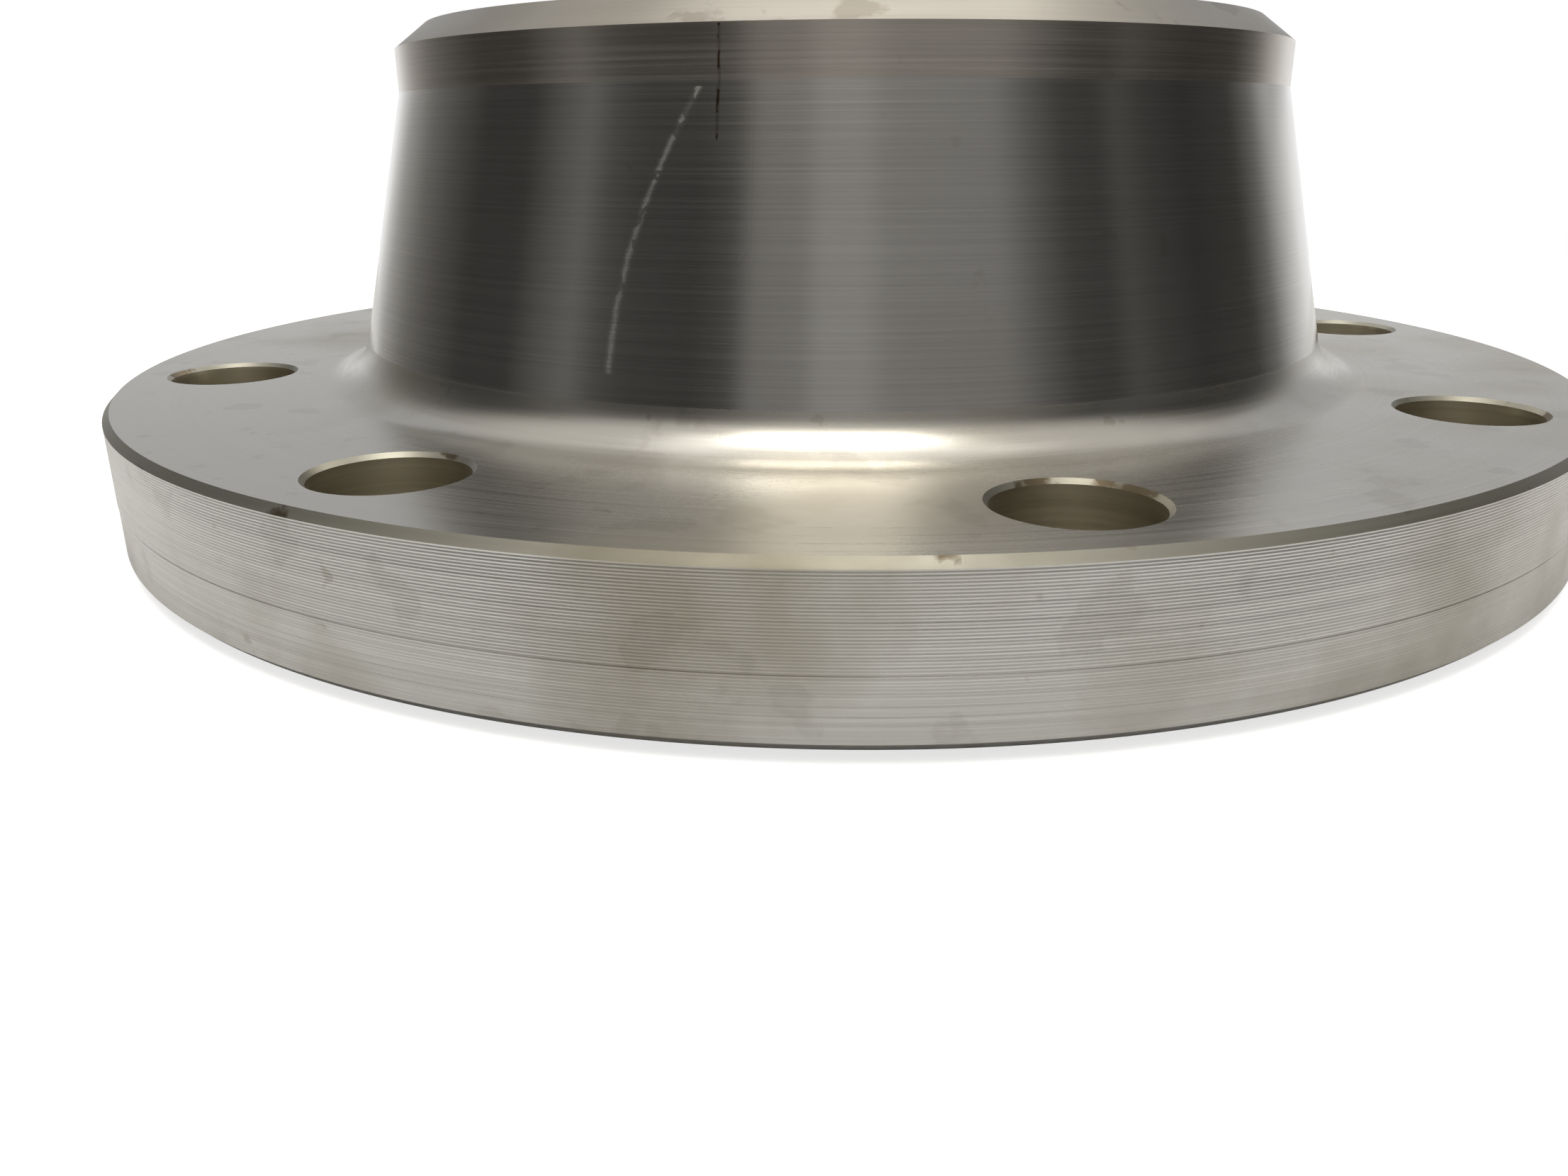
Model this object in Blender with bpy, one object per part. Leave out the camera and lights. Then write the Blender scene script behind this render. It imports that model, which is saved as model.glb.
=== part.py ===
"""Weld neck flange, NPS 6 class 150, as one turned and drilled steel forging.

Units are metres. +Z runs along the bore from the gasket face to the weld end,
and the origin is the centre of the raised gasket face.
"""
from math import atan2, cos, pi, radians, sin, tan

import bmesh
import bpy
from mathutils import Vector

# Flange ring
OUTER_RADIUS = 0.13970
BACK_FACE_Z = 0.02540
RIM_CHAMFER = 0.00120
RAISED_FACE_RADIUS = 0.10795
RAISED_FACE_HEIGHT = 0.00160

# Step where the second turning set-up meets the first, part way up the rim
WITNESS_Z = 0.01140
WITNESS_STEP = 0.00010

# Hub and weld end
HUB_BASE_RADIUS = 0.09600
HUB_FILLET_RADIUS = 0.00850
WELD_END_RADIUS = 0.08415
WELD_END_Z = 0.08740
STRAIGHT_BAND_LENGTH = 0.00740
WELD_BEVEL_ANGLE = radians(37.5)
LAND_WIDTH = 0.00160
BORE_RADIUS = 0.07705
BORE_CHAMFER = 0.00060

# Bolting: the holes straddle the X and Y centre lines
BOLT_COUNT = 8
BOLT_CIRCLE_RADIUS = 0.12065
BOLT_HOLE_RADIUS = 0.01110
BOLT_HOLE_CHAMFER = 0.00070

# Facets
TURNED_SEGMENTS = 96
HOLE_SEGMENTS = 32
FILLET_STEPS = 6
CUT_OVERRUN = 0.00200
MERGE_DISTANCE = 0.000001
SHARP_ANGLE = radians(30.0)

# The bevel runs down from the land to the outside of the straight band
BEVEL_FOOT_Z = WELD_END_Z - (WELD_END_RADIUS - BORE_RADIUS - LAND_WIDTH) * tan(WELD_BEVEL_ANGLE)
TAPER_TOP_Z = BEVEL_FOOT_Z - STRAIGHT_BAND_LENGTH


def forged_steel():
    """Bare machined stainless steel."""
    material = bpy.data.materials.new("forged_steel")
    material.use_nodes = True
    shader = material.node_tree.nodes["Principled BSDF"]
    shader.inputs["Base Color"].default_value = (0.60, 0.58, 0.56, 1.0)
    shader.inputs["Roughness"].default_value = 0.34
    shader.inputs["Metallic"].default_value = 1.0
    return material


def hub_fillet():
    """Arc from the flat back face up to the taper of the hub, tangent to both."""
    lean = atan2(HUB_BASE_RADIUS - WELD_END_RADIUS, TAPER_TOP_Z - BACK_FACE_Z)
    tangent_length = HUB_FILLET_RADIUS / tan((pi / 2.0 + lean) / 2.0)
    centre_radius = HUB_BASE_RADIUS + tangent_length
    centre_z = BACK_FACE_Z + HUB_FILLET_RADIUS
    arc = []
    for step in range(FILLET_STEPS + 1):
        angle = 1.5 * pi - (pi / 2.0 - lean) * step / FILLET_STEPS
        arc.append((centre_radius + HUB_FILLET_RADIUS * cos(angle),
                    centre_z + HUB_FILLET_RADIUS * sin(angle)))
    return arc


def flange_profile():
    """Radius and height round the whole section, from the gasket face outwards."""
    lower_rim = OUTER_RADIUS - WITNESS_STEP
    return [
        (BORE_RADIUS + BORE_CHAMFER, 0.0),
        (RAISED_FACE_RADIUS, 0.0),
        (RAISED_FACE_RADIUS, RAISED_FACE_HEIGHT),
        (lower_rim - RIM_CHAMFER, RAISED_FACE_HEIGHT),
        (lower_rim, RAISED_FACE_HEIGHT + RIM_CHAMFER),
        (lower_rim, WITNESS_Z),
        (OUTER_RADIUS, WITNESS_Z + WITNESS_STEP),
        (OUTER_RADIUS, BACK_FACE_Z - RIM_CHAMFER),
        (OUTER_RADIUS - RIM_CHAMFER, BACK_FACE_Z),
        *hub_fillet(),
        (WELD_END_RADIUS, TAPER_TOP_Z),
        (WELD_END_RADIUS, BEVEL_FOOT_Z),
        (BORE_RADIUS + LAND_WIDTH, WELD_END_Z),
        (BORE_RADIUS, WELD_END_Z),
        (BORE_RADIUS, BORE_CHAMFER),
    ]


def hole_profile():
    """Radius and height of one bolt-hole cutter, from its lower end to its upper end."""
    flare = BOLT_HOLE_RADIUS + BOLT_HOLE_CHAMFER + CUT_OVERRUN
    return [
        (0.0, RAISED_FACE_HEIGHT - CUT_OVERRUN),
        (flare, RAISED_FACE_HEIGHT - CUT_OVERRUN),
        (BOLT_HOLE_RADIUS, RAISED_FACE_HEIGHT + BOLT_HOLE_CHAMFER),
        (BOLT_HOLE_RADIUS, BACK_FACE_Z - BOLT_HOLE_CHAMFER),
        (flare, BACK_FACE_Z + CUT_OVERRUN),
        (0.0, BACK_FACE_Z + CUT_OVERRUN),
    ]


def spin_profile(body, profile, centre, segments, closed):
    """Turn a profile of radius and height about the vertical line through centre."""
    points = [body.verts.new(centre + Vector((radius, 0.0, height))) for radius, height in profile]
    edges = [body.edges.new(pair) for pair in zip(points, points[1:])]
    if closed:
        edges.append(body.edges.new((points[-1], points[0])))
    bmesh.ops.spin(body, geom=points + edges, axis=(0.0, 0.0, 1.0), cent=centre,
                   angle=2.0 * pi, steps=segments, use_duplicate=False)


def turned_object(name, body):
    """Close a spun body, point its faces outwards and link it as an object."""
    bmesh.ops.remove_doubles(body, verts=body.verts, dist=MERGE_DISTANCE)
    bmesh.ops.recalc_face_normals(body, faces=body.faces)
    mesh = bpy.data.meshes.new(name)
    body.to_mesh(mesh)
    body.free()
    turned = bpy.data.objects.new(name, mesh)
    bpy.context.scene.collection.objects.link(turned)
    return turned


def bolt_hole_cutters():
    """All eight chamfered bolt holes, as closed bodies on the bolt circle."""
    body = bmesh.new()
    for hole in range(BOLT_COUNT):
        angle = (hole + 0.5) * 2.0 * pi / BOLT_COUNT
        centre = BOLT_CIRCLE_RADIUS * Vector((cos(angle), sin(angle), 0.0))
        spin_profile(body, hole_profile(), centre, HOLE_SEGMENTS, closed=False)
    cutters = turned_object("bolt_hole_cutters", body)
    cutters.hide_render = True
    cutters.display_type = "WIRE"
    return cutters


def flange_forging():
    """The ring, hub and weld end in one piece, drilled for the bolts."""
    body = bmesh.new()
    spin_profile(body, flange_profile(), Vector((0.0, 0.0, 0.0)), TURNED_SEGMENTS, closed=True)
    forging = turned_object("flange_forging", body)
    forging.data.materials.append(forged_steel())
    forging.data.shade_smooth()
    forging.data.set_sharp_from_angle(angle=SHARP_ANGLE)
    drilling = forging.modifiers.new("bolt_holes", "BOOLEAN")
    drilling.operation = "DIFFERENCE"
    drilling.object = bolt_hole_cutters()
    return forging


for leftover in list(bpy.data.objects):
    bpy.data.objects.remove(leftover)

flange_forging()
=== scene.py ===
"""Weld neck flange in stainless steel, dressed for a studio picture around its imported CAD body."""
from math import atan2, cos, pi, radians, sin, tan

import bmesh
import bpy
import numpy as np
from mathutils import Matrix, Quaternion, Vector


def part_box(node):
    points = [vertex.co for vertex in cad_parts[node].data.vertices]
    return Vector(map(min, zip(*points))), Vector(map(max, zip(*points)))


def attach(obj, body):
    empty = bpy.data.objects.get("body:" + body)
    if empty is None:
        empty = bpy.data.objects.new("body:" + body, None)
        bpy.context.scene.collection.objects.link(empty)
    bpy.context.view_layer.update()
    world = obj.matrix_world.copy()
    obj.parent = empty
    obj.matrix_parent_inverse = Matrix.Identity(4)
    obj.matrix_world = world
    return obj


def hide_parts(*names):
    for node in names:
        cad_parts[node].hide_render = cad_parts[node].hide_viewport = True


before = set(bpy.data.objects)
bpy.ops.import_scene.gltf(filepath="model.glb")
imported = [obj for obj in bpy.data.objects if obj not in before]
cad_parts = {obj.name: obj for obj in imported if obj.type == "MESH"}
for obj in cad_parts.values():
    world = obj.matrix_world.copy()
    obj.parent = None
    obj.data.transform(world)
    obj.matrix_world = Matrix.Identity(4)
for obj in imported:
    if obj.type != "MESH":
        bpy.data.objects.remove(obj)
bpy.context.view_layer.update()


# ---------------------------------------------------------------------------
# Turned body
# The flange is one stainless forging, turned all over in two set-ups. Every
# turned surface is a profile of radius and height carried round the axis.
# ---------------------------------------------------------------------------
low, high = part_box("flange_forging")
OUTER_RADIUS = high[0]
WELD_END_Z = high[2]
BACK_FACE_Z = 0.0254
RAISED_FACE_HEIGHT = 0.0016
RAISED_FACE_RADIUS = 0.10795
RIM_CHAMFER = 0.0012
WITNESS_Z = 0.0114
WITNESS_STEP = 0.0001
WITNESS_GROOVE = 0.00012
RIM_GROOVE_PITCH = 0.00042
RIM_GROOVE_DEPTH = 0.000045

HUB_BASE_RADIUS = 0.0960
HUB_FILLET_RADIUS = 0.0085
WELD_END_RADIUS = 0.08415
STRAIGHT_BAND_LENGTH = 0.0074
WELD_BEVEL_ANGLE = radians(37.5)
LAND_WIDTH = 0.0016
BORE_RADIUS = 0.07705
BORE_CHAMFER = 0.0006
SERRATION_PITCH = 0.0008
SERRATION_DEPTH = 0.00005

BOLT_COUNT = 8
BOLT_CIRCLE_RADIUS = 0.12065
BOLT_HOLE_RADIUS = 0.0111
BOLT_HOLE_CHAMFER = 0.0007
DRILLED_OUTER_RADIUS = 0.1365
BACK_INNER_RADIUS = 0.1040
UNDERSIDE_INNER_RADIUS = 0.1083

SECTOR_STEPS = 36
SIDE_STEPS = 12
TURNED_STEPS = SECTOR_STEPS * BOLT_COUNT
WELD_DISTANCE = 0.000002
SHARP_ANGLE = radians(8.0)

RIM, BACK, HUB, BAND, EDGE, BEVEL, HOLE, BORE, GASKET = range(9)


def fine_grooves(radius, depth, start, end, pitch):
    """Zigzag of radius along a height: the radius on even points, less the depth on odd ones."""
    count = 2 * int(abs(end - start) / pitch) + 1
    heights = np.linspace(start, end, count)
    radii = radius - depth * (np.arange(count) % 2)
    return radii, heights


def straight(start, end, steps):
    """Points from start to end, equally spaced, each of radius and height."""
    share = np.linspace(0.0, 1.0, steps + 1)
    return (start[0] + (end[0] - start[0]) * share, start[1] + (end[1] - start[1]) * share)


def turned_patch(radii, heights, finish):
    """Surface of revolution: (r cos a, r sin a, z) on a grid of profile point by turn angle a."""
    turn = 2.0 * pi * np.arange(TURNED_STEPS) / TURNED_STEPS
    points = np.stack([np.outer(radii, np.cos(turn)), np.outer(radii, np.sin(turn)),
                       np.repeat(np.asarray(heights)[:, None], TURNED_STEPS, axis=1)], axis=-1)
    return points, np.full(len(radii) - 1, finish)


def fillet_points(steps):
    """Arc tangent to the back face and to the taper: centre plus radius times (cos, sin)."""
    lean = atan2(HUB_BASE_RADIUS - WELD_END_RADIUS, TAPER_TOP_Z - BACK_FACE_Z)
    tangent_length = HUB_FILLET_RADIUS / tan((pi / 2.0 + lean) / 2.0)
    angle = 1.5 * pi - (pi / 2.0 - lean) * np.linspace(0.0, 1.0, steps + 1)
    return (HUB_BASE_RADIUS + tangent_length + HUB_FILLET_RADIUS * np.cos(angle),
            BACK_FACE_Z + HUB_FILLET_RADIUS + HUB_FILLET_RADIUS * np.sin(angle))


BEVEL_FOOT_Z = WELD_END_Z - (WELD_END_RADIUS - BORE_RADIUS - LAND_WIDTH) * tan(WELD_BEVEL_ANGLE)
TAPER_TOP_Z = BEVEL_FOOT_Z - STRAIGHT_BAND_LENGTH
lower_rim = OUTER_RADIUS - WITNESS_STEP
witness_root = (lower_rim - WITNESS_GROOVE, WITNESS_Z)
rim_top = (OUTER_RADIUS, BACK_FACE_Z - RIM_CHAMFER)
rim_bottom = (lower_rim, RAISED_FACE_HEIGHT + RIM_CHAMFER)
fillet_radii, fillet_heights = fillet_points(16)
gasket_radii, gasket_depths = fine_grooves(0.0, -SERRATION_DEPTH, RAISED_FACE_RADIUS - 0.0008,
                                           BORE_RADIUS + 0.0030, SERRATION_PITCH)

patches = [
    turned_patch(*straight((DRILLED_OUTER_RADIUS, BACK_FACE_Z),
                           (OUTER_RADIUS - RIM_CHAMFER, BACK_FACE_Z), 1), BACK),
    turned_patch(*straight((OUTER_RADIUS - RIM_CHAMFER, BACK_FACE_Z), rim_top, 2), EDGE),
    turned_patch(*fine_grooves(OUTER_RADIUS, RIM_GROOVE_DEPTH, rim_top[1],
                               WITNESS_Z + WITNESS_STEP, RIM_GROOVE_PITCH), RIM),
    turned_patch(*straight((OUTER_RADIUS, WITNESS_Z + WITNESS_STEP), witness_root, 1), RIM),
    turned_patch(*straight(witness_root, (lower_rim, WITNESS_Z - WITNESS_GROOVE), 1), RIM),
    turned_patch(*fine_grooves(lower_rim, RIM_GROOVE_DEPTH, WITNESS_Z - WITNESS_GROOVE, rim_bottom[1],
                               RIM_GROOVE_PITCH), RIM),
    turned_patch(*straight(rim_bottom, (lower_rim - RIM_CHAMFER, RAISED_FACE_HEIGHT), 2), RIM),
    turned_patch(*straight((lower_rim - RIM_CHAMFER, RAISED_FACE_HEIGHT),
                           (DRILLED_OUTER_RADIUS, RAISED_FACE_HEIGHT), 1), BACK),
    turned_patch(*straight((BACK_INNER_RADIUS, BACK_FACE_Z),
                           (fillet_radii[0], fillet_heights[0]), 1), BACK),
    turned_patch(fillet_radii, fillet_heights, BACK),
    turned_patch(*straight((fillet_radii[-1], fillet_heights[-1]), (WELD_END_RADIUS, TAPER_TOP_Z), 20), HUB),
    turned_patch(*straight((WELD_END_RADIUS, TAPER_TOP_Z), (WELD_END_RADIUS, BEVEL_FOOT_Z), 4), BAND),
    turned_patch(*straight((WELD_END_RADIUS, BEVEL_FOOT_Z),
                           (BORE_RADIUS + LAND_WIDTH, WELD_END_Z), 4), BEVEL),
    turned_patch(*straight((BORE_RADIUS + LAND_WIDTH, WELD_END_Z), (BORE_RADIUS, WELD_END_Z), 2), BEVEL),
    turned_patch(*straight((BORE_RADIUS, WELD_END_Z), (BORE_RADIUS, BORE_CHAMFER), 16), BORE),
    turned_patch(*straight((BORE_RADIUS, BORE_CHAMFER), (BORE_RADIUS + BORE_CHAMFER, 0.0), 1), BORE),
    turned_patch(*straight((BORE_RADIUS + BORE_CHAMFER, 0.0), (gasket_depths[-1], 0.0), 2), GASKET),
    turned_patch(gasket_depths[::-1], gasket_radii[::-1], GASKET),
    turned_patch(*straight((gasket_depths[0], 0.0), (RAISED_FACE_RADIUS, 0.0), 1), GASKET),
    turned_patch(*straight((RAISED_FACE_RADIUS, 0.0), (RAISED_FACE_RADIUS, RAISED_FACE_HEIGHT), 1), GASKET),
    turned_patch(*straight((RAISED_FACE_RADIUS, RAISED_FACE_HEIGHT),
                           (UNDERSIDE_INNER_RADIUS, RAISED_FACE_HEIGHT), 1), BACK),
]


# ---------------------------------------------------------------------------
# Bolt holes
# Eight clearance holes are drilled through the ring and chamfered at both
# ends. Each is made with its own eighth of the back face and of the underside.
# ---------------------------------------------------------------------------
FACE_ROWS = 6
WALL_ROWS = 4


def sector_outline(hole, inner_radius):
    """Outline of one eighth of the ring: outer arc, side, inner arc, side, as flat points."""
    start = hole * 2.0 * pi / BOLT_COUNT
    arc = start + 2.0 * pi / BOLT_COUNT * np.arange(SECTOR_STEPS) / SECTOR_STEPS
    back_arc = start + 2.0 * pi / BOLT_COUNT * (1.0 - np.arange(SECTOR_STEPS) / SECTOR_STEPS)
    side = np.arange(SIDE_STEPS) / SIDE_STEPS
    depth = DRILLED_OUTER_RADIUS - inner_radius
    radius = np.concatenate([np.full(SECTOR_STEPS, DRILLED_OUTER_RADIUS),
                             DRILLED_OUTER_RADIUS - depth * side,
                             np.full(SECTOR_STEPS, inner_radius), inner_radius + depth * side])
    angle = np.concatenate([arc, np.full(SIDE_STEPS, start + 2.0 * pi / BOLT_COUNT),
                            back_arc, np.full(SIDE_STEPS, start)])
    return np.stack([radius * np.cos(angle), radius * np.sin(angle)], axis=-1)


def drilled_patch(hole):
    """One hole with its faces: rows blend an outline into a circle, go down the wall and back out."""
    centre_angle = (hole + 0.5) * 2.0 * pi / BOLT_COUNT
    centre = BOLT_CIRCLE_RADIUS * np.array([cos(centre_angle), sin(centre_angle)])
    count = 2 * (SECTOR_STEPS + SIDE_STEPS)
    first = centre_angle - pi * SECTOR_STEPS / count
    round_angle = first + 2.0 * pi * np.arange(count) / count
    ring = np.stack([np.cos(round_angle), np.sin(round_angle)], axis=-1)
    mouth = centre + (BOLT_HOLE_RADIUS + BOLT_HOLE_CHAMFER) * ring
    wall = centre + BOLT_HOLE_RADIUS * ring
    share = np.linspace(0.0, 1.0, FACE_ROWS + 1)[:, None, None]
    top = (1.0 - share) * sector_outline(hole, BACK_INNER_RADIUS) + share * mouth
    bottom = share * sector_outline(hole, UNDERSIDE_INNER_RADIUS) + (1.0 - share) * mouth
    wall_heights = np.linspace(BACK_FACE_Z - BOLT_HOLE_CHAMFER,
                               RAISED_FACE_HEIGHT + BOLT_HOLE_CHAMFER, WALL_ROWS + 1)
    flat = np.concatenate([top, np.repeat(wall[None], WALL_ROWS + 1, axis=0), bottom])
    heights = np.concatenate([np.full(FACE_ROWS + 1, BACK_FACE_Z), wall_heights,
                              np.full(FACE_ROWS + 1, RAISED_FACE_HEIGHT)])
    points = np.concatenate([flat, np.broadcast_to(heights[:, None, None], flat.shape[:2] + (1,))], axis=-1)
    finishes = np.concatenate([np.full(FACE_ROWS, BACK), [EDGE], np.full(WALL_ROWS, HOLE), [EDGE],
                               np.full(FACE_ROWS, BACK)])
    return points, finishes


patches += [drilled_patch(hole) for hole in range(BOLT_COUNT)]


def joined_mesh(name, parts):
    """Quads between neighbouring rows and columns of every patch, closed round, in one mesh."""
    points, faces, finishes, offset = [], [], [], 0
    for grid, row_finish in parts:
        rows, columns = grid.shape[:2]
        index = offset + np.arange(rows * columns).reshape(rows, columns)
        after = np.roll(index, -1, axis=1)
        faces.append(np.stack([index[:-1], index[1:], after[1:], after[:-1]], axis=-1).reshape(-1, 4))
        finishes.append(np.repeat(row_finish, columns))
        points.append(grid.reshape(-1, 3))
        offset += rows * columns
    points, faces, finishes = np.concatenate(points), np.concatenate(faces), np.concatenate(finishes)
    mesh = bpy.data.meshes.new(name)
    mesh.from_pydata(points.tolist(), [], faces.tolist())
    mesh.polygons.foreach_set("material_index", finishes.astype(np.int32))
    body = bmesh.new()
    body.from_mesh(mesh)
    bmesh.ops.remove_doubles(body, verts=body.verts, dist=WELD_DISTANCE)
    bmesh.ops.recalc_face_normals(body, faces=body.faces)
    body.to_mesh(mesh)
    body.free()
    mesh.shade_smooth()
    mesh.set_sharp_from_angle(angle=SHARP_ANGLE)
    return mesh


flange = bpy.data.objects.new("weld_neck_flange", joined_mesh("weld_neck_flange", patches))
bpy.context.scene.collection.objects.link(flange)


# ---------------------------------------------------------------------------
# Steel finishes
# Bare austenitic steel shows how each surface was cut: feed lines run round
# the axis, and handling leaves smears, fine scratches and small dark stains.
# The chamfers and the weld bevel get a darker colour as painted shade, to dim the lamps' highlights on them.
# ---------------------------------------------------------------------------
def add_node(tree, kind, **settings):
    """A node of one kind with its settings."""
    node = tree.nodes.new(kind)
    for name, value in settings.items():
        setattr(node, name, value)
    return node


def math_node(tree, operation, first, second=None):
    """Arithmetic on sockets or numbers, giving the result's socket."""
    node = add_node(tree, "ShaderNodeMath", operation=operation)
    for socket, value in zip(node.inputs, (first, second)):
        if isinstance(value, bpy.types.NodeSocket):
            tree.links.new(value, socket)
        elif value is not None:
            socket.default_value = value
    return node.outputs[0]


def feed_line_group():
    """Lines round the axis: a ripple and an uneven noise, both drawn out round the turn."""
    group = bpy.data.node_groups.new("feed_lines", "ShaderNodeTree")
    for name, default in (("Along Face", 0.0), ("Pitch", 0.0004), ("Ripple", 0.5)):
        socket = group.interface.new_socket(name=name, in_out="INPUT", socket_type="NodeSocketFloat")
        socket.default_value = default
    for name in ("Height", "Streaks"):
        group.interface.new_socket(name=name, in_out="OUTPUT", socket_type="NodeSocketFloat")
    inlet = add_node(group, "NodeGroupInput")
    outlet = add_node(group, "NodeGroupOutput")
    place = add_node(group, "ShaderNodeTexCoord")
    split = add_node(group, "ShaderNodeSeparateXYZ")
    group.links.new(place.outputs["Object"], split.inputs[0])
    flat = add_node(group, "ShaderNodeCombineXYZ")
    group.links.new(split.outputs["X"], flat.inputs["X"])
    group.links.new(split.outputs["Y"], flat.inputs["Y"])
    length = add_node(group, "ShaderNodeVectorMath", operation="LENGTH")
    group.links.new(flat.outputs[0], length.inputs[0])
    along = add_node(group, "ShaderNodeMix", data_type="FLOAT")
    group.links.new(inlet.outputs["Along Face"], along.inputs["Factor"])
    group.links.new(split.outputs["Z"], along.inputs["A"])
    group.links.new(length.outputs["Value"], along.inputs["B"])
    turns = math_node(group, "DIVIDE", along.outputs["Result"], inlet.outputs["Pitch"])
    ripple = math_node(group, "SINE", math_node(group, "MULTIPLY", turns, 2.0 * pi))
    direction = add_node(group, "ShaderNodeVectorMath", operation="NORMALIZE")
    group.links.new(flat.outputs[0], direction.inputs[0])
    way = add_node(group, "ShaderNodeSeparateXYZ")
    group.links.new(direction.outputs[0], way.inputs[0])
    drawn = add_node(group, "ShaderNodeCombineXYZ")
    group.links.new(math_node(group, "MULTIPLY", way.outputs["X"], 1.2), drawn.inputs["X"])
    group.links.new(math_node(group, "MULTIPLY", way.outputs["Y"], 1.2), drawn.inputs["Y"])
    group.links.new(math_node(group, "MULTIPLY", turns, 0.9), drawn.inputs["Z"])
    noise = add_node(group, "ShaderNodeTexNoise")
    noise.inputs["Scale"].default_value = 1.0
    noise.inputs["Detail"].default_value = 3.0
    noise.inputs["Roughness"].default_value = 0.65
    group.links.new(drawn.outputs[0], noise.inputs["Vector"])
    blend = add_node(group, "ShaderNodeMix", data_type="FLOAT")
    group.links.new(inlet.outputs["Ripple"], blend.inputs["Factor"])
    group.links.new(noise.outputs["Fac"], blend.inputs["A"])
    group.links.new(math_node(group, "MULTIPLY", ripple, 0.5), blend.inputs["B"])
    group.links.new(blend.outputs["Result"], outlet.inputs["Height"])
    group.links.new(noise.outputs["Fac"], outlet.inputs["Streaks"])
    return group


def shop_wear_group():
    """Handling marks: broad smears, small specks and thin straight scratches, as masks."""
    group = bpy.data.node_groups.new("shop_wear", "ShaderNodeTree")
    for name in ("Smears", "Specks", "Nicks", "Scratches"):
        group.interface.new_socket(name=name, in_out="OUTPUT", socket_type="NodeSocketFloat")
    outlet = add_node(group, "NodeGroupOutput")
    place = add_node(group, "ShaderNodeTexCoord")
    for name, scale, detail, edges in (("Smears", 24.0, 6.0, (0.50, 0.78)), ("Specks", 230.0, 2.0, (0.70, 0.76)),
                                       ("Nicks", 75.0, 5.0, (0.60, 0.635))):
        noise = add_node(group, "ShaderNodeTexNoise")
        noise.inputs["Scale"].default_value = scale
        noise.inputs["Detail"].default_value = detail
        group.links.new(place.outputs["Object"], noise.inputs["Vector"])
        steps = add_node(group, "ShaderNodeMapRange")
        steps.inputs["From Min"].default_value, steps.inputs["From Max"].default_value = edges
        group.links.new(noise.outputs["Fac"], steps.inputs["Value"])
        group.links.new(steps.outputs["Result"], outlet.inputs[name])
    warp = add_node(group, "ShaderNodeMapping")
    warp.inputs["Scale"].default_value = (60.0, 9.0, 30.0)
    warp.inputs["Rotation"].default_value = (0.4, 0.2, 0.9)
    group.links.new(place.outputs["Object"], warp.inputs["Vector"])
    cells = add_node(group, "ShaderNodeTexVoronoi", feature="DISTANCE_TO_EDGE")
    cells.inputs["Scale"].default_value = 1.0
    group.links.new(warp.outputs[0], cells.inputs["Vector"])
    thin = add_node(group, "ShaderNodeMapRange")
    thin.inputs["From Min"].default_value = 0.010
    thin.inputs["From Max"].default_value = 0.0
    group.links.new(cells.outputs["Distance"], thin.inputs["Value"])
    group.links.new(thin.outputs["Result"], outlet.inputs["Scratches"])
    return group


def hub_marks_group():
    """Two marks seen on the taper: a long curved scratch and a thin rust run below the weld end.

    Each is a band about a curve in unrolled coordinates: the turn angle from the
    front times the hub radius, against height.
    """
    group = bpy.data.node_groups.new("hub_marks", "ShaderNodeTree")
    for name in ("Scratch", "Rust"):
        group.interface.new_socket(name=name, in_out="OUTPUT", socket_type="NodeSocketFloat")
    outlet = add_node(group, "NodeGroupOutput")
    place = add_node(group, "ShaderNodeTexCoord")
    split = add_node(group, "ShaderNodeSeparateXYZ")
    group.links.new(place.outputs["Object"], split.inputs[0])
    turn = math_node(group, "ARCTAN2", split.outputs["X"], math_node(group, "MULTIPLY", split.outputs["Y"], -1.0))
    along = math_node(group, "MULTIPLY", turn, WELD_END_RADIUS)
    noise = add_node(group, "ShaderNodeTexNoise")
    noise.inputs["Scale"].default_value = 260.0
    group.links.new(place.outputs["Object"], noise.inputs["Vector"])
    wobble = math_node(group, "MULTIPLY", math_node(group, "SUBTRACT", noise.outputs["Fac"], 0.5), 0.0008)
    for name, foot, top, start, lean, bend, width in MARKS:
        rise = math_node(group, "DIVIDE", math_node(group, "SUBTRACT", split.outputs["Z"], foot), top - foot)
        path = math_node(group, "ADD", math_node(group, "MULTIPLY", rise, lean),
                         math_node(group, "MULTIPLY", math_node(group, "MULTIPLY", rise, rise), bend))
        gap = math_node(group, "SUBTRACT", math_node(group, "SUBTRACT", along, start), path)
        near = add_node(group, "ShaderNodeMapRange", interpolation_type="SMOOTHSTEP")
        near.inputs["From Min"].default_value = width
        near.inputs["From Max"].default_value = 0.0
        group.links.new(math_node(group, "ABSOLUTE", math_node(group, "ADD", gap, wobble)), near.inputs["Value"])
        inside = math_node(group, "MULTIPLY", math_node(group, "GREATER_THAN", rise, 0.0),
                           math_node(group, "LESS_THAN", rise, 1.0))
        ragged = math_node(group, "GREATER_THAN", noise.outputs["Fac"], 0.46)
        strength = math_node(group, "MULTIPLY", math_node(group, "MULTIPLY", near.outputs["Result"], inside),
                             math_node(group, "ADD", 0.35, math_node(group, "MULTIPLY", ragged, 0.65)))
        group.links.new(strength, outlet.inputs[name])
    return group


# Name, foot and top height, place round the hub at the foot, lean and bend over the rise, half width
MARKS = (("Scratch", 0.036, 0.075, -0.0188, 0.0, 0.0110, 0.0009),
         ("Rust", 0.068, 0.083, -0.0050, 0.0, 0.0002, 0.00035))

feed_lines = feed_line_group()
shop_wear = shop_wear_group()
hub_marks = hub_marks_group()


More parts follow.
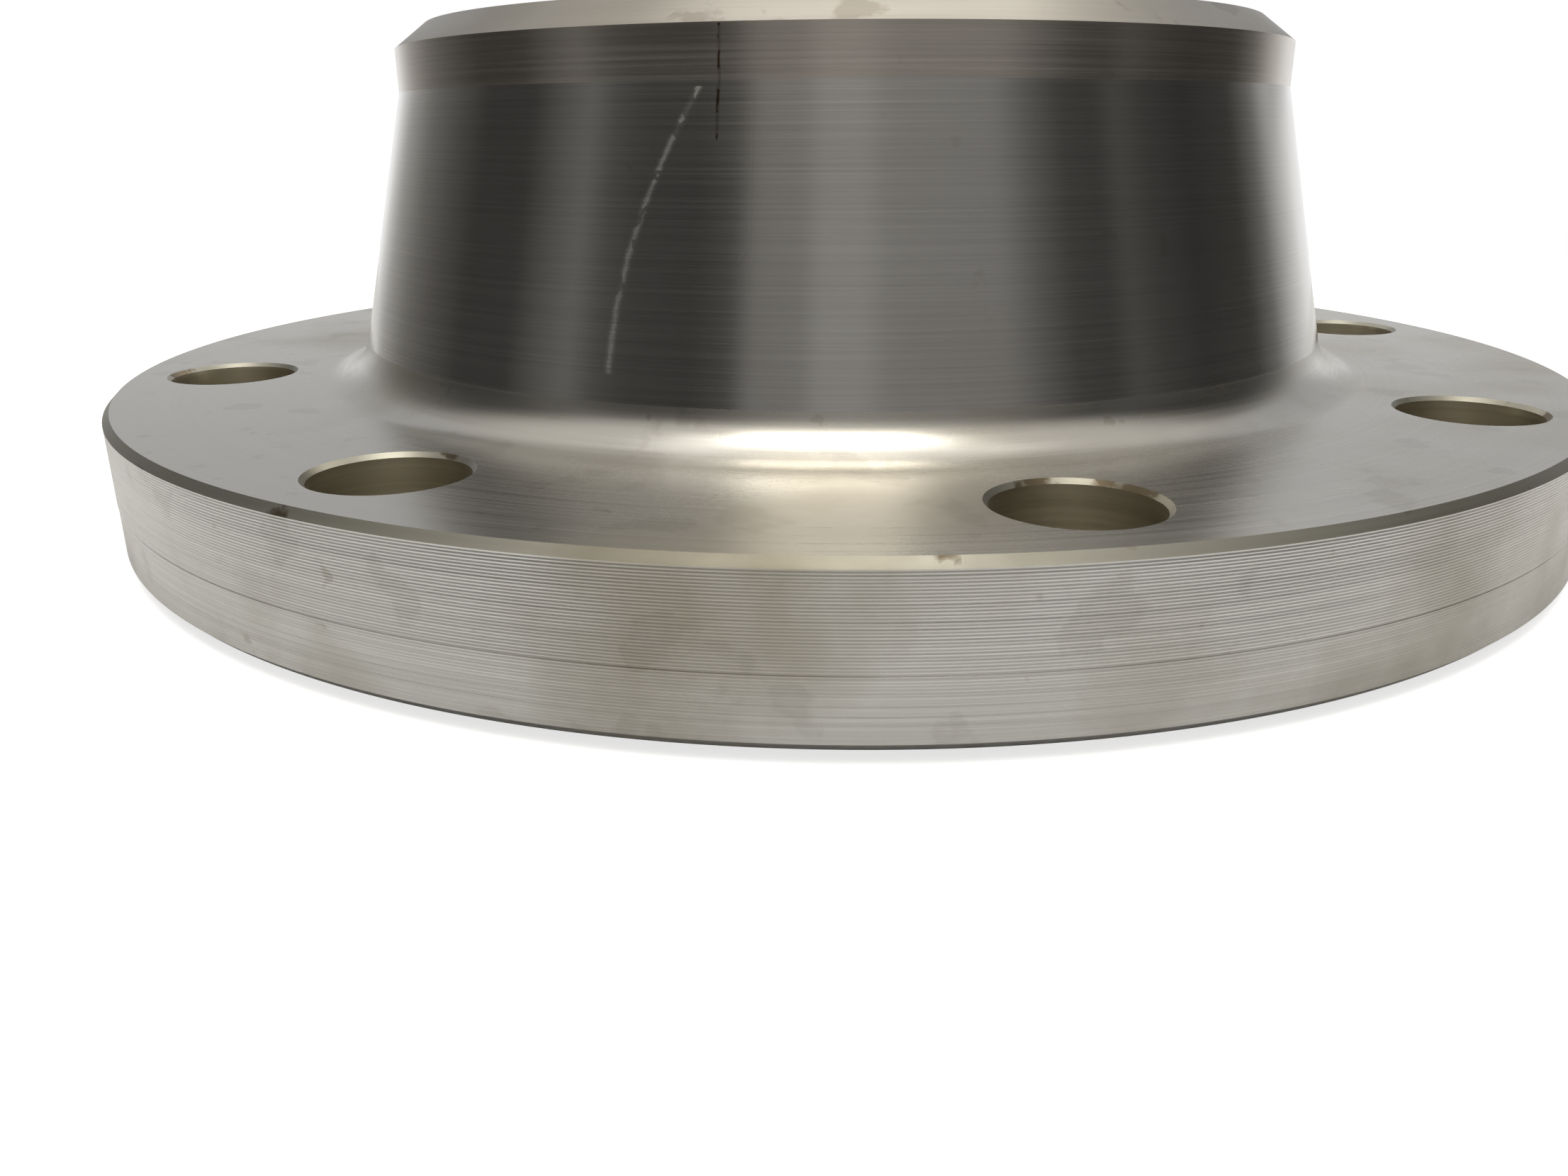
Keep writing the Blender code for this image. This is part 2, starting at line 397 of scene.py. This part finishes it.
def steel_finish(name, colour, roughness, along_face, pitch, ripple, depth, streak, smear, anisotropy, marked, nicked):
    """Steel cut one way: feed lines set bump, roughness and tone, and wear darkens it in places."""
    material = bpy.data.materials.new(name)
    material.use_nodes = True
    tree = material.node_tree
    shader = tree.nodes["Principled BSDF"]
    shader.inputs["Metallic"].default_value = 1.0
    shader.inputs["Anisotropic"].default_value = anisotropy
    shader.inputs["Anisotropic Rotation"].default_value = 0.25
    around = add_node(tree, "ShaderNodeTangent", direction_type="RADIAL", axis="Z")
    tree.links.new(around.outputs[0], shader.inputs["Tangent"])
    lines = add_node(tree, "ShaderNodeGroup", node_tree=feed_lines)
    lines.inputs["Along Face"].default_value = along_face
    lines.inputs["Pitch"].default_value = pitch
    lines.inputs["Ripple"].default_value = ripple
    wear = add_node(tree, "ShaderNodeGroup", node_tree=shop_wear)
    tone = add_node(tree, "ShaderNodeMix", data_type="RGBA")
    tone.inputs["A"].default_value = (*(channel * (1.0 - streak) for channel in colour), 1.0)
    tone.inputs["B"].default_value = (*(min(1.0, channel * (1.0 + streak)) for channel in colour), 1.0)
    tree.links.new(lines.outputs["Streaks"], tone.inputs["Factor"])
    stained = add_node(tree, "ShaderNodeMix", data_type="RGBA")
    stained.inputs["B"].default_value = (colour[0] * 0.62, colour[1] * 0.58, colour[2] * 0.50, 1.0)
    stain = math_node(tree, "MULTIPLY", wear.outputs["Smears"], smear)
    stain = math_node(tree, "MAXIMUM", stain, math_node(tree, "MULTIPLY", wear.outputs["Specks"], 0.5 * smear))
    tree.links.new(stain, stained.inputs["Factor"])
    tree.links.new(tone.outputs["Result"], stained.inputs["A"])
    chipped = add_node(tree, "ShaderNodeMix", data_type="RGBA")
    chipped.inputs["B"].default_value = (0.10, 0.075, 0.045, 1.0)
    nick = math_node(tree, "MULTIPLY", wear.outputs["Nicks"], nicked)
    tree.links.new(nick, chipped.inputs["Factor"])
    tree.links.new(stained.outputs["Result"], chipped.inputs["A"])
    marks = add_node(tree, "ShaderNodeGroup", node_tree=hub_marks)
    scratched = add_node(tree, "ShaderNodeMix", data_type="RGBA")
    scratched.inputs["B"].default_value = (0.85, 0.85, 0.84, 1.0)
    tree.links.new(math_node(tree, "MULTIPLY", marks.outputs["Scratch"], 0.12 * marked), scratched.inputs["Factor"])
    tree.links.new(chipped.outputs["Result"], scratched.inputs["A"])
    rusted = add_node(tree, "ShaderNodeMix", data_type="RGBA")
    rusted.inputs["B"].default_value = (0.11, 0.055, 0.02, 1.0)
    tree.links.new(math_node(tree, "MULTIPLY", marks.outputs["Rust"], marked), rusted.inputs["Factor"])
    tree.links.new(scratched.outputs["Result"], rusted.inputs["A"])
    tree.links.new(rusted.outputs["Result"], shader.inputs["Base Color"])
    dulled = math_node(tree, "ADD", roughness, math_node(tree, "MULTIPLY", wear.outputs["Smears"], 0.12 * smear))
    uneven = math_node(tree, "MULTIPLY", math_node(tree, "SUBTRACT", lines.outputs["Streaks"], 0.5), 0.16)
    rough_mark = math_node(tree, "MULTIPLY", marks.outputs["Scratch"], 0.16 * marked)
    tree.links.new(math_node(tree, "ADD", math_node(tree, "ADD", dulled, uneven), rough_mark),
                   shader.inputs["Roughness"])
    worn = math_node(tree, "ADD", math_node(tree, "MULTIPLY", wear.outputs["Scratches"], 0.8),
                     math_node(tree, "MULTIPLY", nick, 12.0))
    relief = math_node(tree, "SUBTRACT", lines.outputs["Height"], worn)
    bump = add_node(tree, "ShaderNodeBump")
    bump.inputs["Strength"].default_value = 1.0
    bump.inputs["Distance"].default_value = depth
    tree.links.new(relief, bump.inputs["Height"])
    tree.links.new(bump.outputs[0], shader.inputs["Normal"])
    return material


# Name, colour, roughness, share along the face, feed pitch, ripple, relief, streaks, smears,
# anisotropy, share of the hub's own marks, share of nicks
FINISHES = {
    RIM: ("rim_turned", (0.62, 0.612, 0.59), 0.30, 0.0, 0.00042, 0.3, 0.000006, 0.40, 1.0, 0.3, 0.0, 0.10),
    BACK: ("back_face_turned", (0.58, 0.565, 0.53), 0.25, 1.0, 0.0005, 0.2, 0.000002, 0.06, 0.8, 0.3, 0.0, 0.12),
    HUB: ("hub_taper_turned", (0.59, 0.58, 0.56), 0.14, 0.0, 0.0003, 0.0, 0.0000012, 0.15, 0.4, 0.6, 1.0, 0.0),
    BAND: ("weld_band_turned", (0.58, 0.54, 0.49), 0.19, 0.0, 0.0004, 0.1, 0.0000015, 0.14, 0.4, 0.5, 1.0, 0.0),
    # Chamfer colour darkened well below the other steel as painted shade, to dim the lamp highlight on these up-facing
    # faces; the nicks on them are real wear.
    EDGE: ("edge_chamfered", (0.32, 0.31, 0.27), 0.44, 0.0, 0.0005, 0.2, 0.000003, 0.10, 0.9, 0.3, 0.0, 0.9),
    # Weld bevel colour darkened below the hub steel as painted shade, to dim the ceiling highlight on this up-facing
    # cone.
    BEVEL: ("weld_bevel_turned", (0.40, 0.375, 0.335), 0.30, 0.0, 0.0005, 0.2, 0.000003, 0.12, 0.7, 0.4, 0.0, 0.3),
    HOLE: ("hole_drilled", (0.60, 0.56, 0.46), 0.36, 0.0, 0.0006, 0.4, 0.000006, 0.20, 0.4, 0.3, 0.0, 0.0),
    BORE: ("bore_turned", (0.58, 0.57, 0.54), 0.28, 0.0, 0.0006, 0.4, 0.000006, 0.14, 0.4, 0.5, 0.0, 0.0),
    GASKET: ("gasket_face_serrated", (0.58, 0.57, 0.55), 0.30, 1.0, 0.0008, 0.3, 0.000004, 0.08, 0.3, 0.3, 0.0, 0.0),
}
for finish in sorted(FINISHES):
    flange.data.materials.append(steel_finish(*FINISHES[finish]))

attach(flange, "root")
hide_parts("flange_forging")


# ---------------------------------------------------------------------------
# Floor and studio
# A white sweep under the flange, a bright ceiling, and a surrounding room
# whose light and dark stands show as upright bands in the turned hub.
# ---------------------------------------------------------------------------
FLOOR_SIZE = 1.0
floor_mesh = bpy.data.meshes.new("studio_floor")
half = FLOOR_SIZE / 2.0
floor_mesh.from_pydata([(-half, -half, 0.0), (half, -half, 0.0), (half, half, 0.0), (-half, half, 0.0)],
                       [], [(0, 1, 2, 3)])
floor = bpy.data.objects.new("studio_floor", floor_mesh)
bpy.context.scene.collection.objects.link(floor)
paper = bpy.data.materials.new("white_paper")
paper.use_nodes = True
matte = paper.node_tree.nodes["Principled BSDF"]
matte.inputs["Base Color"].default_value = (0.55, 0.55, 0.55, 1.0)
matte.inputs["Roughness"].default_value = 0.9
glow = add_node(paper.node_tree, "ShaderNodeEmission")
seen = add_node(paper.node_tree, "ShaderNodeLightPath")
paper.node_tree.links.new(math_node(paper.node_tree, "MULTIPLY", seen.outputs["Is Camera Ray"], 0.72),
                          glow.inputs["Strength"])
lit = add_node(paper.node_tree, "ShaderNodeAddShader")
paper.node_tree.links.new(matte.outputs[0], lit.inputs[0])
paper.node_tree.links.new(glow.outputs[0], lit.inputs[1])
paper.node_tree.links.new(lit.outputs[0], paper.node_tree.nodes["Material Output"].inputs["Surface"])
floor_mesh.materials.append(paper)

# Azimuth in degrees from the camera side, and brightness of the room there
ROOM = [(-180, 1.00), (-142, 0.95), (-126, 0.42), (-112, 0.20), (-100, 0.11), (-88, 0.05), (-72, 0.05),
        (-64, 0.11), (-55, 0.17), (-48, 0.09), (-40, 0.06), (-25, 0.05), (-16, 0.08), (-11, 0.23),
        (0, 0.24), (4, 0.33), (14, 0.33), (20, 0.26), (46, 0.24), (55, 0.13), (63, 0.065), (72, 0.055),
        (78, 0.09), (86, 0.06), (98, 0.04), (116, 0.055), (126, 0.18), (138, 0.62), (150, 0.95), (180, 1.00)]
CEILING_EDGE = (0.50, 0.80)
CEILING_BRIGHTNESS = 0.75
WALL_TOP = (0.05, 0.16)
UPPER_WALL_BRIGHTNESS = 0.49


def studio_world():
    """Room brightness by azimuth, taken over by a bright ceiling higher up, and white behind."""
    world = bpy.data.worlds.new("studio")
    world.use_nodes = True
    tree = world.node_tree
    backdrop = tree.nodes["Background"]
    backdrop.inputs["Color"].default_value = (1.0, 1.0, 1.0, 1.0)
    place = add_node(tree, "ShaderNodeTexCoord")
    split = add_node(tree, "ShaderNodeSeparateXYZ")
    tree.links.new(place.outputs["Generated"], split.inputs[0])
    azimuth = math_node(tree, "ARCTAN2", split.outputs["X"],
                        math_node(tree, "MULTIPLY", split.outputs["Y"], -1.0))
    share = math_node(tree, "ADD", math_node(tree, "DIVIDE", azimuth, 2.0 * pi), 0.5)
    ramp = add_node(tree, "ShaderNodeValToRGB")
    stops = ramp.color_ramp.elements
    while len(stops) < len(ROOM):
        stops.new(0.5)
    for stop, (degrees, brightness) in zip(stops, ROOM):
        stop.position = degrees / 360.0 + 0.5
        warmth = 0.035 * (1.0 - brightness)
        stop.color = (brightness * (1.0 + warmth), brightness, brightness * (1.0 - 1.5 * warmth), 1.0)
    tree.links.new(share, ramp.inputs[0])
    ceiling = add_node(tree, "ShaderNodeMapRange", interpolation_type="SMOOTHSTEP")
    ceiling.inputs["From Min"].default_value, ceiling.inputs["From Max"].default_value = CEILING_EDGE
    tree.links.new(split.outputs["Z"], ceiling.inputs["Value"])
    room = add_node(tree, "ShaderNodeMix", data_type="RGBA")
    room.inputs["B"].default_value = (CEILING_BRIGHTNESS, 0.97 * CEILING_BRIGHTNESS, 0.9 * CEILING_BRIGHTNESS, 1.0)
    tree.links.new(ceiling.outputs["Result"], room.inputs["Factor"])
    upper = add_node(tree, "ShaderNodeMapRange", interpolation_type="SMOOTHSTEP")
    upper.inputs["From Min"].default_value, upper.inputs["From Max"].default_value = WALL_TOP
    upper.inputs["To Min"].default_value, upper.inputs["To Max"].default_value = (1.0, UPPER_WALL_BRIGHTNESS)
    tree.links.new(split.outputs["Z"], upper.inputs["Value"])
    dimmed = add_node(tree, "ShaderNodeVectorMath", operation="MINIMUM")
    tree.links.new(ramp.outputs["Color"], dimmed.inputs[0])
    tree.links.new(upper.outputs["Result"], dimmed.inputs[1])
    tree.links.new(dimmed.outputs[0], room.inputs["A"])
    surround = add_node(tree, "ShaderNodeBackground")
    tree.links.new(room.outputs["Result"], surround.inputs["Color"])
    sight = add_node(tree, "ShaderNodeLightPath")
    choose = add_node(tree, "ShaderNodeMixShader")
    tree.links.new(sight.outputs["Is Camera Ray"], choose.inputs["Fac"])
    tree.links.new(surround.outputs[0], choose.inputs[1])
    tree.links.new(backdrop.outputs[0], choose.inputs[2])
    tree.links.new(choose.outputs[0], tree.nodes["World Output"].inputs["Surface"])
    return world


bpy.context.scene.world = studio_world()
bpy.context.scene.view_settings.view_transform = "Standard"


def soft_light(name, place, target, size, power, colour, mirrored=True):
    """A square soft light that faces its target. One that isn't mirrored lights only the floor."""
    light = bpy.data.lights.new(name, "AREA")
    light.size = size
    light.energy = power
    light.color = colour
    lamp = bpy.data.objects.new(name, light)
    lamp.visible_glossy = mirrored
    lamp.location = place
    lamp.rotation_euler = (Vector(target) - Vector(place)).to_track_quat("-Z", "Y").to_euler()
    bpy.context.scene.collection.objects.link(lamp)


soft_light("ceiling_light", (0.0, -0.1, 1.2), (0.0, 0.0, 0.0), 1.0, 2.2, (1.0, 0.98, 0.95))
soft_light("rear_window", (0.0, 0.85, 0.95), (0.0, 0.0, 0.04), 0.7, 4.0, (1.0, 0.97, 0.90))
soft_light("front_ceiling", (0.05, -0.45, 1.05), (0.0, 0.0, 0.02), 0.55, 4.6, (1.0, 0.95, 0.84))
soft_light("floor_fill", (0.0, 0.0, 1.4), (0.0, 0.0, 0.0), 1.2, 11.0, (1.0, 1.0, 1.0), mirrored=False)


# ---------------------------------------------------------------------------
# Camera
# A wide lens close to the flange, a little above the ring and below the top
# of the hub, tipped down.
# ---------------------------------------------------------------------------
CAMERA_PLACE = Vector((0.0372, -0.2665, 0.0694))
CAMERA_TARGET = Vector((-0.0116, 0.0, -0.0297))
CAMERA_ROLL = -0.0059
LENS_LENGTH = 28.84
SENSOR_WIDTH = 36.0

lens = bpy.data.cameras.new("camera")
lens.lens = LENS_LENGTH
lens.sensor_width = SENSOR_WIDTH
lens.clip_start = 0.01
camera = bpy.data.objects.new("camera", lens)
camera.location = CAMERA_PLACE
aim = (CAMERA_TARGET - CAMERA_PLACE).to_track_quat("-Z", "Y")
camera.rotation_euler = (aim @ Quaternion((0.0, 0.0, 1.0), CAMERA_ROLL)).to_euler()
bpy.context.scene.collection.objects.link(camera)
bpy.context.scene.camera = camera
